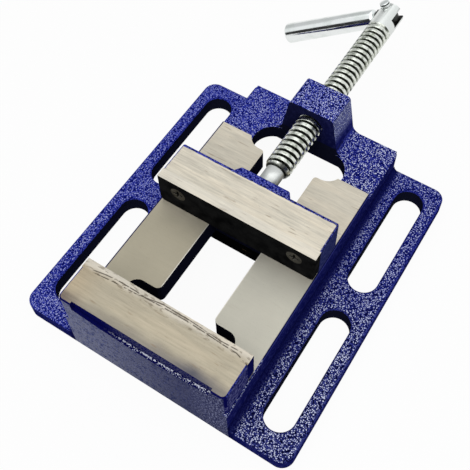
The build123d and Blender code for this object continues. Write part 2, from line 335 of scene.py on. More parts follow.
def falling(tree, value, change, rest=0.0, full=1.0):
    """Mask from full before a change to rest behind it."""
    return remap(tree, value, *change, full, rest)


def band_mask(tree, value, band, soft):
    """1 where a value lies in a band, with soft ends."""
    low, high = band
    above = rising(tree, value, (low - soft, low + soft))
    below = falling(tree, value, (high - soft, high + soft))
    return times(tree, above, below)


def noise(tree, place, scale, detail=2.0, **inputs):
    """Random pattern over the surface, about 0 to 1."""
    inputs = {"Vector": place, "Scale": scale, "Detail": detail, **inputs}
    return add(tree, "ShaderNodeTexNoise", inputs).outputs[0]


def drawn_out(tree, place, share):
    """Place with its Y shortened to a share, so that patterns read there run long along Y."""
    return add(tree, "ShaderNodeMapping", {"Vector": place, "Scale": (1.0, share, 1.0)}).outputs[0]


def vector_node(tree, operation, first, second, output=0):
    """One step with vectors."""
    key = "Scale" if operation == "SCALE" else 1
    return add(tree, "ShaderNodeVectorMath", {0: first, key: second}, operation=operation).outputs[output]


def ramp(tree, factor, stops):
    """Colour ramp from (place, colour) stops."""
    made = add(tree, "ShaderNodeValToRGB", {0: factor})
    steps = made.color_ramp.elements
    while len(steps) < len(stops):
        steps.new(0.5)
    for step, (place, colour) in zip(steps, stops):
        step.position = place
        step.color = (*colour, 1)
    return made.outputs[0]


def blend_colours(tree, factor, first, second, mode="MIX"):
    """Mix two colours, each a link or three numbers."""
    first, second = (colour if isinstance(colour, bpy.types.NodeSocket) else (*colour, 1)
                     for colour in (first, second))
    inputs = {"Factor": factor, 6: first, 7: second}
    return add(tree, "ShaderNodeMix", inputs, data_type="RGBA", blend_type=mode).outputs[2]


def blend_values(tree, factor, first, second):
    """Mix two values."""
    return add(tree, "ShaderNodeMix", {0: factor, 2: first, 3: second}).outputs[0]


def bump(tree, shader, height, strength, depth):
    """Lead a height into a shader's normal."""
    made = add(tree, "ShaderNodeBump", {"Height": height, "Strength": strength, "Distance": depth})
    tree.links.new(made.outputs[0], shader.inputs["Normal"])


def new_group(name, inputs, outputs):
    """Empty node group with named inputs (name: default) and outputs (name: kind)."""
    tree = bpy.data.node_groups.new(name, "ShaderNodeTree")
    for key, value in inputs.items():
        kind = "NodeSocketColor" if isinstance(value, tuple) else "NodeSocketFloat"
        socket = tree.interface.new_socket(name=key, in_out="INPUT", socket_type=kind)
        socket.default_value = (*value, 1) if isinstance(value, tuple) else value
    for key, kind in outputs.items():
        tree.interface.new_socket(name=key, in_out="OUTPUT", socket_type="NodeSocket" + kind)
    return tree, add(tree, "NodeGroupInput").outputs, add(tree, "NodeGroupOutput").inputs


def new_material(name):
    """Material with a Principled shader; returns it, its tree and the shader."""
    material = bpy.data.materials.new(name)
    material.use_nodes = True
    tree = material.node_tree
    return material, tree, tree.nodes["Principled BSDF"]


def object_place(tree):
    """Object coordinates, whole and split into X, Y and Z."""
    place = add(tree, "ShaderNodeTexCoord").outputs["Object"]
    parts = add(tree, "ShaderNodeSeparateXYZ", {0: place}).outputs
    return place, parts


def linear(red, green, blue):
    """Screen colour 0 to 255 as a scene colour."""
    def one(value):
        value = value / 255
        return value / 12.92 if value <= 0.04045 else ((value + 0.055) / 1.055) ** 2.4
    return one(red), one(green), one(blue)


# Colours of the enamel: royal blue, the deep blue of its hollows, and the painted glints, highlights painted
# onto its tops
royal_front, royal_rear, royal_left = linear(60, 67, 146), linear(50, 58, 158), linear(62, 72, 184)
deep_front, deep_rear, deep_left = linear(8, 9, 46), linear(9, 13, 84), linear(14, 20, 100)
deep_boss_top = linear(5, 8, 56)
# Painted glints: white highlights painted into the colour, brighter at the front, and a row of them along the
# scoop's edge
glint_rear, glint_front = linear(204, 214, 255), linear(232, 238, 255)
glint_white = linear(236, 240, 255)
# The second and third of these are painted shade, at the foot of the body and in the scoop
rail_edge_navy, rail_foot_shade_navy, scoop_shade_navy = linear(22, 25, 80), linear(13, 15, 70), linear(12, 14, 84)
plate_end_navy = linear(16, 20, 84)
# The second and third of these are painted sheen, on the lip and on the sides of the nut boss
jaw_end_blue, lip_sheen_blue, boss_side_sheen_blue = linear(100, 102, 152), linear(66, 72, 156), linear(130, 136, 172)
# Painted reflection of the pale floor on the front of the fixed jaw, lighter to the left as painted light,
# with darker speckle and painted glints
front_right_reflection, front_left_reflection = linear(58, 63, 104), linear(100, 108, 154)
front_hollow, front_glint = linear(22, 26, 70), linear(150, 154, 190)
# Painted shade: the near black of the openings, of the nut boss's face and of the sliding jaw below the rails
opening_shade_black = linear(26, 28, 48)

# Colours of the bare metal
rail_right, rail_left, rail_rear = linear(192, 189, 176), linear(173, 166, 147), linear(211, 204, 188)
rail_inner_edge = linear(222, 218, 208)
jaw_top_bare, jaw_top_front = linear(183, 174, 154), linear(92, 92, 100)
jaw_top_left, jaw_top_clamping = linear(176, 146, 104), linear(216, 209, 195)
chip_brown, joint_brown, mark_brown = linear(112, 100, 82), linear(52, 42, 32), linear(140, 118, 92)
streak_warmth = (0.62, 0.50, 0.38)
# Painted shade: in the roots of the thread, in the groove and under the head of the pin, and in the slot of
# the fork
thread_root_shade, pin_ring_shade, fork_slot_shade = linear(20, 23, 20), linear(30, 32, 34), linear(16, 16, 17)


def hammered_group():
    """Hammered enamel. Evenly spread points, pulled about by a noise, are the tops of the paint:
    each carries a small painted glint, a highlight painted into the colour, with royal blue round it
    and deep blue in between. Glints raises or lowers them all."""
    tree, given, wanted = new_group(
        "Hammered Enamel",
        {"Deep": (0.0, 0.0, 0.1), "Mid": (0.1, 0.1, 0.4), "Glint": (0.6, 0.6, 0.9), "Grain": 800.0,
         "Glints": 1.0},
        {"Color": "Color", "Height": "Float", "Roughness": "Float", "Crest": "Float"},
    )
    place = add(tree, "ShaderNodeTexCoord").outputs["Object"]
    pull = add(tree, "ShaderNodeTexNoise", {"Vector": place, "Scale": 520.0, "Detail": 1.0}).outputs["Color"]
    pull = vector_node(tree, "SUBTRACT", pull, (0.5, 0.5, 0.5))
    bent = vector_node(tree, "ADD", place, vector_node(tree, "SCALE", pull, 1.8 * MM))
    cells = {"Vector": bent, "Scale": given["Grain"], "Randomness": 0.8}
    away = add(tree, "ShaderNodeTexVoronoi", cells).outputs["Distance"]
    broad = noise(tree, place, 120.0)
    reach = math_node(tree, "MULTIPLY_ADD", minus(tree, 0.5, broad), 0.18, away)
    crest = math_node(tree, "MULTIPLY", falling(tree, reach, glint_edge), given["Glints"], clamp=True)
    ground_tone = blend_colours(tree, rising(tree, away, hollow_edge), given["Mid"], given["Deep"])
    tree.links.new(blend_colours(tree, crest, ground_tone, given["Glint"]), wanted["Color"])
    tree.links.new(opposite(tree, away), wanted["Height"])
    tree.links.new(remap(tree, away, 0.2, 0.7, 0.34, 0.5), wanted["Roughness"])
    tree.links.new(crest, wanted["Crest"])
    return tree


def ground_group():
    """Ground cast iron or steel: fine streaks along Y over soft cloudy tones, with a few pores
    and short brown marks."""
    tree, given, wanted = new_group(
        "Ground Metal",
        {"Tone": (0.5, 0.45, 0.4), "Streaks": 0.5, "Clouds": 0.3, "Pores": 0.2},
        {"Color": "Color", "Height": "Float", "Roughness": "Float"},
    )
    place = add(tree, "ShaderNodeTexCoord").outputs["Object"]
    streak = noise(tree, drawn_out(tree, place, 0.07), 900.0, 3.0, Roughness=0.65)
    wide = drawn_out(tree, place, 0.12)
    band = noise(tree, wide, 170.0, 3.0)
    cloud = noise(tree, place, 38.0, 3.0)
    pore = noise(tree, place, 1500.0, 1.0)
    light = times(tree, minus(tree, streak, 0.5), given["Streaks"])
    light = plus(tree, light, times(tree, minus(tree, band, 0.5), given["Streaks"]))
    light = plus(tree, light, times(tree, minus(tree, cloud, 0.5), given["Clouds"]))
    spots = times(tree, rising(tree, pore, (0.66, 0.74)), given["Pores"])
    light = plus(tree, minus(tree, light, spots), 1.0)
    colour = vector_node(tree, "SCALE", given["Tone"], light)
    warm = blend_colours(tree, rising(tree, band, (0.35, 0.65)), colour, streak_warmth, mode="MULTIPLY")
    colour = blend_colours(tree, times(tree, given["Streaks"], 0.22), colour, warm)
    marks = times(tree, rising(tree, noise(tree, wide, 620.0), (0.66, 0.74)), given["Streaks"], 0.8)
    tree.links.new(blend_colours(tree, marks, colour, mark_brown), wanted["Color"])
    tree.links.new(streak, wanted["Height"])
    tree.links.new(remap(tree, cloud, 0.3, 0.7, 0.36, 0.5), wanted["Roughness"])
    return tree


hammered = hammered_group()
ground = ground_group()

# Finishes


def ground_metal(tree, tone, streaks, clouds=0.3, pores=0.1):
    """The ground metal group in a material, as its outputs."""
    inputs = {"Tone": tone, "Streaks": streaks, "Clouds": clouds, "Pores": pores}
    return add(tree, "ShaderNodeGroup", inputs, node_tree=ground).outputs


def wavy_line(tree, along, across, points, width, broken):
    """Mask of a dark line that follows points (along, across in mm), with a soft width."""
    start, end = points[0][0], points[-1][0]
    lows = min(point[1] for point in points)
    highs = max(point[1] for point in points)
    share = remap(tree, along, *span(start, end), smooth=False)
    stops = [((a - start) / (end - start), ((b - lows) / (highs - lows),) * 3) for a, b in points]
    level = remap(tree, ramp(tree, share, stops), 0.0, 1.0, *span(lows, highs), smooth=False)
    away = size_of(tree, minus(tree, across, level))
    line = falling(tree, away, (0.2 * width, width))
    ends = band_mask(tree, along, span(start, end), 1.5 * MM)
    return times(tree, line, ends, broken)


def draw_joints(tree, colour, top, x, y, place):
    """Colour of the fixed jaw with the dark broken lines of the old joint along its ground top.
    The lines are points (y, x) in mm."""
    broken = rising(tree, noise(tree, place, 300.0), (0.36, 0.5))
    first = [(-50.3, -76.6), (-42.4, -74.1), (-34.7, -73.9), (-24.5, -73.4), (-12.6, -73.0), (1.3, -73.2),
             (11.9, -73.7), (17.7, -73.2), (28.1, -73.2), (36.1, -73.8), (43.6, -75.1)]
    second = [(-42.2, -72.5), (-32.1, -72.9), (-21.3, -72.3), (-12.0, -71.9), (2.6, -72.0), (16.8, -74.3),
              (31.0, -75.0), (41.7, -76.1)]
    lines = largest(tree, wavy_line(tree, y, x, first, 0.5 * MM, broken),
                    wavy_line(tree, y, x, second, 0.45 * MM, broken))
    return blend_colours(tree, times(tree, lines, 0.85, top), colour, joint_brown)


def jaw_top_tone(tree, x, y, place):
    """Tone of the ground top of the fixed jaw: darker along its front edge and towards the left
    end, lighter and chipped along the clamping edge."""
    cloud = noise(tree, place, 90.0, 3.0)
    drift = math_node(tree, "MULTIPLY_ADD", cloud, 4.5 * MM, x)
    near_front = falling(tree, drift, span(4.5, 11.5, front_end))
    along = remap(tree, y, *span(-50, 50), smooth=False)
    shades = ((0.0, 0.6), (0.2, 1.0), (0.32, 0.7), (0.5, 0.45), (0.88, 0.35), (0.97, 0.9))
    strength = ramp(tree, along, [(stop, (shade,) * 3) for stop, shade in shades])
    tone = blend_colours(tree, times(tree, near_front, strength), jaw_top_bare, jaw_top_front)
    near_left = times(tree, rising(tree, y, span(30, 50)), 0.25)
    tone = blend_colours(tree, near_left, tone, jaw_top_left)
    near_edge = rising(tree, drift, (light_edge_start, clamping_edge), 0.9)
    tone = blend_colours(tree, near_edge, tone, jaw_top_clamping)
    chips = noise(tree, drawn_out(tree, place, 0.3), 700.0, 3.0)
    chipped = times(tree, falling(tree, chips, (0.36, 0.46), full=0.55),
                    band_mask(tree, x, (plate_joint, clamping_edge), 1.2 * MM))
    return blend_colours(tree, chipped, tone, chip_brown)


def read_surface(tree):
    """What the castings' finish goes by: the place, the way the face looks, two noises, and how
    far to the front or the top the place is."""
    place, (x, y, z) = object_place(tree)
    normal = add(tree, "ShaderNodeNewGeometry").outputs["True Normal"]
    back, left, up = add(tree, "ShaderNodeSeparateXYZ", {0: normal}).outputs
    return SimpleNamespace(
        place=place, x=x, y=y, z=z, across=size_of(tree, y), back=back, left=left, up=up,
        upward=rising(tree, up, facing_up), level=rising(tree, up, level_face),
        mottle=noise(tree, place, 420.0, 3.0, Roughness=0.65), speckle=noise(tree, place, 900.0),
        to_front=largest(tree, falling(tree, x, front_to_rear, 0.7), rising(tree, z, body_to_deck)),
    )


def base_places(tree, at):
    """Masks of the places on the base casting that have a finish of their own: the lip under
    the rails, the scoop in the fixed jaw, the sides of the nut boss, the slotted plate, the
    outer edge of the rails, and the foot of the fixed jaw and its front that carries a painted reflection."""
    return SimpleNamespace(
        lip=times(tree, band_mask(tree, at.z, span(30.6, 33.1), 0.5 * MM),
                  falling(tree, at.left, square_on)),
        scoop=times(tree, falling(tree, at.x, span(2.1, 2.3, front_end)),
                    rising(tree, at.z, scoop_rise)),
        boss_side=times(tree, band_mask(tree, at.up, boss_side_lean, 0.04),
                        rising(tree, at.z, boss_side_rise)),
        plate=falling(tree, at.z, plate_to_body),
        rail_edge=times(tree, band_mask(tree, at.z, span(31.5, 34), 0.2 * MM),
                        rising(tree, at.x, rail_edge_start)),
        foot=falling(tree, at.x, jaw_foot),
        front=times(tree, falling(tree, at.back, nearly_square_on), falling(tree, at.across, reflection_front_side),
                    falling(tree, at.x, reflection_front_depth)),
    )


def base_flecks(tree, at, on):
    """Painted glints of the base: none in the scoop but for one row on its edge, none round the slots,
    along the plate's edge, at the foot of the rails, on their edge and on the rim of the jaw; full on
    the lip at the foot of the fixed jaw and on the sides of the nut boss."""
    row = times(tree, falling(tree, at.x, span(1.0, 1.4, front_end)),
                falling(tree, at.y, span(0, 30), 0.15))
    flecks = times(tree, at.flecks, falling(tree, times(tree, on.scoop, opposite(tree, row)), (0, 1)))
    beside = minus(tree, at.across, slot_place.y)
    past = size_of(tree, minus(tree, size_of(tree, at.x), slot_place.x))
    past = math_node(tree, "MAXIMUM", minus(tree, past, slot_straight), 0.0)
    rim = distance(tree, beside, past)
    clear = times(tree, rising(tree, rim, span(0.2, 1.3, slot_radius)),
                  falling(tree, at.across, span(-1.6, -0.5, casting_high.y)),
                  rising(tree, at.across, rail_foot_flecks))
    clear = largest(tree, clear, opposite(tree, on.plate))
    below_rim = largest(tree, falling(tree, at.z, jaw_rim_rise), opposite(tree, on.foot))
    flecks = times(tree, flecks, clear, opposite(tree, on.rail_edge), below_rim)
    return largest(tree, flecks, times(tree, on.lip, on.foot), on.boss_side)


def enamel(tree, at):
    """The hammered enamel group in a material, bluer to the left and rear, as its outputs."""
    to_left = rising(tree, at.y, shade_to_left)
    to_rear = rising(tree, at.x, front_to_rear)
    royal = blend_colours(tree, to_left, blend_colours(tree, to_rear, royal_front, royal_rear), royal_left)
    deep = blend_colours(tree, to_left, blend_colours(tree, to_rear, deep_front, deep_rear), deep_left)
    deep = blend_colours(tree, rising(tree, at.z, boss_top_rise), deep, deep_boss_top)
    fleck = blend_colours(tree, at.to_front, glint_rear, glint_front)
    inputs = {"Deep": deep, "Mid": royal, "Glint": fleck, "Grain": hammer_grain, "Glints": at.flecks}
    return add(tree, "ShaderNodeGroup", inputs, node_tree=hammered).outputs


def base_metal(tree, at):
    """Bare metal of the base: the top of the fixed jaw, and the rails with a bright inner edge,
    smoother in front of the sliding jaw than behind it."""
    on_rails = falling(tree, at.z, span(-6, -5, jaw_top))
    in_front = falling(tree, at.x, front_rails)
    rail_front = blend_colours(tree, rising(tree, at.y, span(-12, 12)), rail_right, rail_left)
    rail_tone = blend_colours(tree, in_front, rail_rear, rail_front)
    tone = blend_colours(tree, on_rails, jaw_top_tone(tree, at.x, at.y, at.place), rail_tone)
    inner_edge = times(tree, band_mask(tree, at.across, span(17.1, 17.6), 0.1 * MM), in_front, on_rails)
    tone = blend_colours(tree, inner_edge, tone, rail_inner_edge)
    streaks = remap(tree, times(tree, on_rails, in_front), 0.0, 1.0, 0.55, 0.08)
    return ground_metal(tree, tone, streaks, clouds=0.35, pores=0.12)


def base_paint(tree, at, on, colour, gloss, crest):
    """Colour and gloss of the base's enamel, with the tones of its edges, painted shade along the foot
    of the body and in the scoop, painted sheen on the boss's sides, and a painted reflection that greys
    the front of the fixed jaw under a row of painted glints."""
    colour = blend_colours(tree, times(tree, on.rail_edge, at.upward), colour, rail_edge_navy)
    # Painted shade: a darker navy strip on the plate along the foot of the body
    near_rail_shade = times(tree, on.plate, falling(tree, at.across, rail_foot_shade, full=0.85))
    colour = blend_colours(tree, near_rail_shade, colour, rail_foot_shade_navy)
    # Painted sheen: a lighter grey-blue on the sides of the nut boss
    sheen = times(tree, on.boss_side, opposite(tree, times(tree, crest, 0.5)), 0.45)
    colour = blend_colours(tree, sheen, colour, boss_side_sheen_blue)
    # Painted shade in the scoop, between its glints
    colour = blend_colours(tree, times(tree, on.scoop, opposite(tree, crest)), colour, scoop_shade_navy)
    # Painted reflection: the front of the fixed jaw greyed as by the pale floor, lighter to the left, with
    # darker speckle and, towards the right, painted glints
    front_reflection = blend_colours(tree, rising(tree, at.y, span(-50, 60)), front_right_reflection, front_left_reflection)
    front_reflection = blend_colours(tree, falling(tree, at.speckle, (0.38, 0.6), full=0.6), front_reflection, front_hollow)
    front_glint_mask = times(tree, rising(tree, at.speckle, (0.52, 0.6)),
                   falling(tree, at.y, span(-44, -22), full=0.8))
    front_reflection = blend_colours(tree, front_glint_mask, front_reflection, front_glint)
    colour = blend_colours(tree, times(tree, on.front, 0.9), colour, front_reflection)
    # Painted glints: a row of white dots along the lower edge of the scoop
    bead_glints = times(tree, band_mask(tree, at.x, span(1.1, 1.9, front_end), 0.15 * MM),
                  rising(tree, at.z, bead_glint_rise), falling(tree, at.across, span(42, 43)),
                  falling(tree, at.y, span(6, 24)), rising(tree, at.speckle, (0.47, 0.54)))
    front_gloss = times(tree, on.front, rising(tree, at.mottle, (0.36, 0.5)),
                        remap(tree, at.y, *span(-55, 60), 0.05, 0.3))
    return blend_colours(tree, bead_glints, colour, glint_white), largest(tree, gloss, front_gloss)


def base_bare(tree, at):
    """Masks of the ground top of the fixed jaw, and of all that is ground on the base."""
    top = times(tree, rising(tree, at.z, span(-0.5, -0.3, jaw_top)),
                falling(tree, at.x, span(-3, -2, fixed_face)))
    rails = times(tree, band_mask(tree, at.z, span(-0.3, 0.3, rail_top), 0.1 * MM),
                  falling(tree, at.across, bare_rail_side),
                  rising(tree, at.x, span(15, 16, front_end)))
    return top, times(tree, largest(tree, top, rails), at.level)


def base_shade(tree, at):
    """Mask of painted shade: near black on the walls between the rails and in the slots, and dark on the nut
    boss's face.
    """
    inside = times(tree, falling(tree, at.across, span(46, 47)),
                   rising(tree, at.x, span(-1, 0, fixed_face)),
                   falling(tree, at.x, span(-14, -12, casting_high.x)),
                   falling(tree, at.z, span(-0.2, 0, rail_top)))
    slots = times(tree, band_mask(tree, at.across, span(58, 79.5), 0.3 * MM),
                  falling(tree, size_of(tree, at.x), span(85.5, 86)))
    walls = times(tree, largest(tree, inside, slots), falling(tree, at.up, steep_in_opening))
    nut_face_shade = times(tree, falling(tree, at.back, square_on), rising(tree, at.z, span(27, 29)),
                     rising(tree, at.x, span(60, 62)), remap(tree, at.y, *span(-18, 0), 0.5, 1.0), 0.75)
    return largest(tree, walls, nut_face_shade)


def add_base_layers(tree, at):
    """Fill the record of the surface with what the base has: its places, its painted glints, its walls
    with mottled jaw ends and a painted sheen on the lip, its bare metal and the painted shade of its
    openings."""
    on = at.on = base_places(tree, at)
    at.flecks = base_flecks(tree, at, on)
    jaw_end = times(tree, rising(tree, at.z, body_to_jaw), falling(tree, at.x, span(-6, -5, fixed_face)),
                    rising(tree, at.mottle, (0.4, 0.66)))
    at.wall = blend_colours(tree, jaw_end, at.wall, jaw_end_blue)
    # Painted sheen: a lighter blue along the lip under the rails
    at.wall = blend_colours(tree, times(tree, on.lip, 0.6), at.wall, lip_sheen_blue)
    painted = largest(tree, times(tree, on.lip, on.foot), on.boss_side)
    at.on_walls = times(tree, at.on_walls, opposite(tree, painted))
    at.metal = base_metal(tree, at)
    at.top, at.bare = base_bare(tree, at)
    at.dark = base_shade(tree, at)


def add_jaw_layers(tree, at, bare_tone):
    """Fill the record of the surface with what the sliding jaw has: few painted glints, a ground top
    that ends in a wavy rear edge, and painted shade, near black, on what lies below the tops of the rails."""
    at.flecks = times(tree, at.flecks, 0.3)
    at.metal = ground_metal(tree, (*bare_tone, 1), 0.75, clouds=0.35, pores=0.12)
    wobble = times(tree, minus(tree, noise(tree, at.place, 260.0), 0.5), 0.9 * MM)
    rear_edge = falling(tree, plus(tree, at.x, wobble), span(23.8, 24.1, moving_face))
    at.bare = times(tree, rising(tree, at.z, span(-0.3, -0.1, jaw_top)), rear_edge, at.level)
    at.dark = falling(tree, at.z, span(-0.2, 0.1, rail_top))


def casting_material(name, shaded_wall_tone, bare_tone=None):
    """Hammered blue enamel with machined faces left bare, steep walls painted as a smooth, darker copy
    of the enamel for painted shade, and painted shade in the openings. Without a bare tone it is the
    finish of the base, with one the sliding jaw's."""
    material, tree, shader = new_material(name)
    is_base = bare_tone is None
    at = read_surface(tree)
    # Painted glints only on faces that look up, fewer towards the left and the rear
    at.flecks = times(tree, at.upward, falling(tree, at.y, right_to_left, 0.55), at.to_front)
    # Painted shade: steep walls take a smooth navy, darker than the enamel on the tops, with lighter mottled
    # spots
    at.on_walls = falling(tree, at.up, steep)
    wall_light = linear(*(part + wall_mottle for part in shaded_wall_tone))
    at.wall = blend_colours(tree, rising(tree, at.mottle, (0.42, 0.72)), linear(*shaded_wall_tone), wall_light)
    if is_base:
        add_base_layers(tree, at)
    else:
        add_jaw_layers(tree, at, bare_tone)
    paint = enamel(tree, at)
    colour = blend_colours(tree, at.on_walls, paint["Color"], at.wall)
    gloss = times(tree, paint["Crest"], 0.35)
    if is_base:
        colour, gloss = base_paint(tree, at, at.on, colour, gloss, paint["Crest"])
    # Painted shade in the openings, on the nut boss's face and below the rails
    colour = blend_colours(tree, at.dark, colour, opening_shade_black)
    colour = blend_colours(tree, at.bare, colour, at.metal["Color"])
    if is_base:
        colour = draw_joints(tree, colour, at.top, at.x, at.y, at.place)
    height = blend_values(tree, at.bare, paint["Height"], times(tree, at.metal["Height"], 0.12))
    height = times(tree, height, opposite(tree, largest(tree, at.dark, at.on_walls)))
    bump(tree, shader, height, strength=0.3, depth=0.5 * MM)
    set_inputs(tree, shader, {
        "Base Color": colour,
        "Roughness": blend_values(tree, at.bare, paint["Roughness"], at.metal["Roughness"]),
        "Metallic": times(tree, at.bare, 0.35),
        "Specular IOR Level": 0.0,
        "Coat Weight": times(tree, gloss, opposite(tree, largest(tree, at.bare, at.dark))),
    })
    return material


def ground_steel(name, tone, metallic, gloss=0.5):
    """Bare ground steel."""
    material, tree, shader = new_material(name)
    metal = ground_metal(tree, (*tone, 1), 0.5)
    bump(tree, shader, metal["Height"], strength=0.15, depth=0.2 * MM)
    set_inputs(tree, shader, {"Base Color": metal["Color"], "Roughness": metal["Roughness"],
                              "Metallic": metallic, "Specular IOR Level": gloss})
    return material


def jaw_plate_material(name, tone=None):
    """Black oxide on the faces, ground bright along the top. Without a tone it is the fixed
    plate, whose top carries on the tones and joint lines of the casting beside it."""
    material, tree, shader = new_material(name)
    place, (x, y, z) = object_place(tree)
    jointed = tone is None
    metal = ground_metal(tree, jaw_top_tone(tree, x, y, place) if jointed else (*tone, 1), 0.5)
    mottle = noise(tree, place, 160.0, 4.0)
    black = ramp(tree, mottle, [(0.3, linear(16, 16, 17)), (0.7, linear(36, 36, 36))])
    top = rising(tree, z, span(-0.15, -0.05, jaw_top))
    colour = blend_colours(tree, top, black, metal["Color"])
    if jointed:
        end = fixed_plate_high.y
        ends = times(tree, rising(tree, size_of(tree, y), span(-0.3, -0.1, end)),
                     opposite(tree, top))
        colour = blend_colours(tree, ends, colour, plate_end_navy)
        colour = draw_joints(tree, colour, top, x, y, place)
    bump(tree, shader, mottle, strength=0.1, depth=0.2 * MM)
    set_inputs(tree, shader, {"Base Color": colour, "Specular IOR Level": 0.0,
                              "Roughness": blend_values(tree, top, 0.5, metal["Roughness"]),
                              "Metallic": times(tree, top, 0.35)})
    return material


def zinc_material(name, tone, roughness, tarnish, detail=""):
    """Zinc plating with faint cloudy tarnish. The detail adds what one piece has: painted shade low in
    the roots of a "thread", painted shade in the "fork" slot, or painted shade in the "rings" of the pin."""
    material, tree, shader = new_material(name)
    place, (x, y, z) = object_place(tree)
    cloud = noise(tree, place, 450.0 if detail == "thread" else 120.0, 4.0)
    colour = blend_colours(tree, rising(tree, cloud, (0.42, 0.7)), tone, tarnish)
    rough = remap(tree, cloud, 0.3, 0.7, roughness, roughness + 0.1)
    if detail == "thread":
        radius = distance(tree, y, minus(tree, z, screw_axis))
        # Painted shade in the roots of the thread
        root_shade = falling(tree, radius, span(0.3, 1.5, thread_minor))
        colour = blend_colours(tree, times(tree, root_shade, 0.97), colour, thread_root_shade)
        rough = math_node(tree, "MULTIPLY_ADD", root_shade, 0.25, roughness)
    elif detail:
        from_pivot = vector_node(tree, "SUBTRACT", place, pivot)
        height = vector_node(tree, "DOT_PRODUCT", from_pivot, pin_axis, "Value")
    if detail == "rings":
        groove = pin_head_bottom + pin_groove_height
        # Painted shade in the groove of the pin head and under the head
        rings = largest(tree, band_mask(tree, height, (groove, groove + 2 * pin_groove_depth), 0.06 * MM),
                        falling(tree, height, span(0.1, 0.3, pin_head_bottom)))
        colour = blend_colours(tree, rings, colour, pin_ring_shade)
    if detail == "fork":
        # Painted shade in the slot of the fork
        slot = times(tree, falling(tree, size_of(tree, height), span(0, 0.04, fork_half_gap)),
                     rising(tree, x, span(-0.06, -0.02, fork_root)))
        colour = blend_colours(tree, slot, colour, fork_slot_shade)
    bump(tree, shader, noise(tree, place, 900.0), strength=0.05, depth=0.1 * MM)
    set_inputs(tree, shader, {"Base Color": colour, "Roughness": rough, "Metallic": 1.0})
    return material


zinc_bright = zinc_material("bright zinc", linear(232, 235, 234), 0.09, linear(220, 225, 222))
zinc_satin = zinc_material("satin zinc", linear(224, 227, 224), 0.3, linear(222, 225, 222), "fork")
zinc_neck = zinc_material("neck zinc", linear(172, 174, 172), 0.28, linear(160, 163, 160))
zinc_pin = zinc_material("pin zinc", linear(224, 228, 226), 0.16, linear(205, 210, 206), "rings")
# Painted shade: the lever's tongue, between the prongs of the fork, is painted dark
zinc_shaded = zinc_material("shaded zinc", linear(96, 97, 95), 0.4, linear(60, 62, 60))
zinc_thread = zinc_material("zinc thread", linear(224, 227, 219), 0.2, linear(142, 148, 134), "thread")
black_screw_finish = zinc_material("black oxide screw", linear(64, 62, 58), 0.35, linear(26, 25, 23))
plain_steel = ground_steel("plain machined steel", linear(150, 146, 140), 0.8)

finishes = {
    "base_casting": casting_material("blue hammered base", (18, 22, 92)),
    "moving_jaw": casting_material("blue hammered jaw", (40, 46, 98), linear(218, 211, 195)),
    "fixed_jaw_plate": jaw_plate_material("fixed plate oxide"),
    "moving_jaw_plate": jaw_plate_material("moving plate oxide", linear(222, 216, 202)),
    # Painted shade: the keeper plate is a near-black sheet without gloss where shade falls under the jaw
    "keeper_plate": ground_steel("keeper shade black", linear(9, 9, 10), 0.0, gloss=0.0),
}
shared_finishes = (
    (zinc_bright, ("keeper_screw_1", "keeper_screw_2", "keeper_washer_1", "keeper_washer_2", "lead_screw",
                   "pivot_pin", "pivot_washer", "lever")),
    (plain_steel, ("retaining_pin_1", "retaining_pin_2", "thrust_button")),
    (black_screw_finish, ("fixed_plate_screw_1", "fixed_plate_screw_2", "moving_plate_screw_1",
                          "moving_plate_screw_2")),
)
for finish, node_names in shared_finishes:
    finishes.update(dict.fromkeys(node_names, finish))
for node_name, finish in finishes.items():
    data = frame["nodes"][node_name].data
    data.materials.clear()
    data.materials.append(finish)


# Pieces that stand in for packed ones


def thread_mesh():
    """Trapezoidal profile carried along a right-hand helix. A point is profile place a and
    radius r at turn t: x = start + pitch * (t + a), turned by 2 pi t. X is held between the
    ends, and the radius is held under a cone at the neck and over a cone at the head."""
    turns = int((thread_end - thread_start) / thread_pitch) + 3
    turn = np.linspace(-1.5, turns - 1.5, turns * thread_steps + 1)
    soft = thread_softness
    crest = thread_crest / 2
    foot = crest + thread_flank
    offsets = np.array([-thread_pitch / 2, -foot - soft, -foot + soft / 2, -crest - soft / 2, -crest + soft,
                        crest - soft, crest + soft / 2, foot - soft / 2, foot + soft, thread_pitch / 2])
    radii = np.array([thread_minor, thread_minor, thread_minor + soft, thread_major - soft, thread_major,
                      thread_major, thread_major - soft, thread_minor + soft, thread_minor, thread_minor])
    x = thread_start + thread_pitch * turn[:, None] + offsets[None, :]
    x = np.clip(x, thread_start, thread_end)
    radius = np.broadcast_to(radii[None, :], x.shape)
    radius = np.minimum(radius, thread_minor + (x - thread_start) * thread_entry)
    radius = np.maximum(radius, thread_major - (thread_end - x) * thread_runout)
    angle = 2 * np.pi * turn[:, None]
    points = np.stack([x, radius * np.cos(angle), screw_axis + radius * np.sin(angle)], axis=-1)
    mesh = grid_mesh("screw_thread", points, wrap_columns=False)
    shell = bmesh.new()
    shell.from_mesh(mesh)
    bmesh.ops.remove_doubles(shell, verts=shell.verts, dist=2e-6)
    bmesh.ops.holes_fill(shell, edges=shell.edges, sides=0)
    bmesh.ops.recalc_face_normals(shell, faces=shell.faces)
    shell.to_mesh(mesh)
    shell.free()
    smooth_by_angle(mesh, degrees=28)
    return mesh


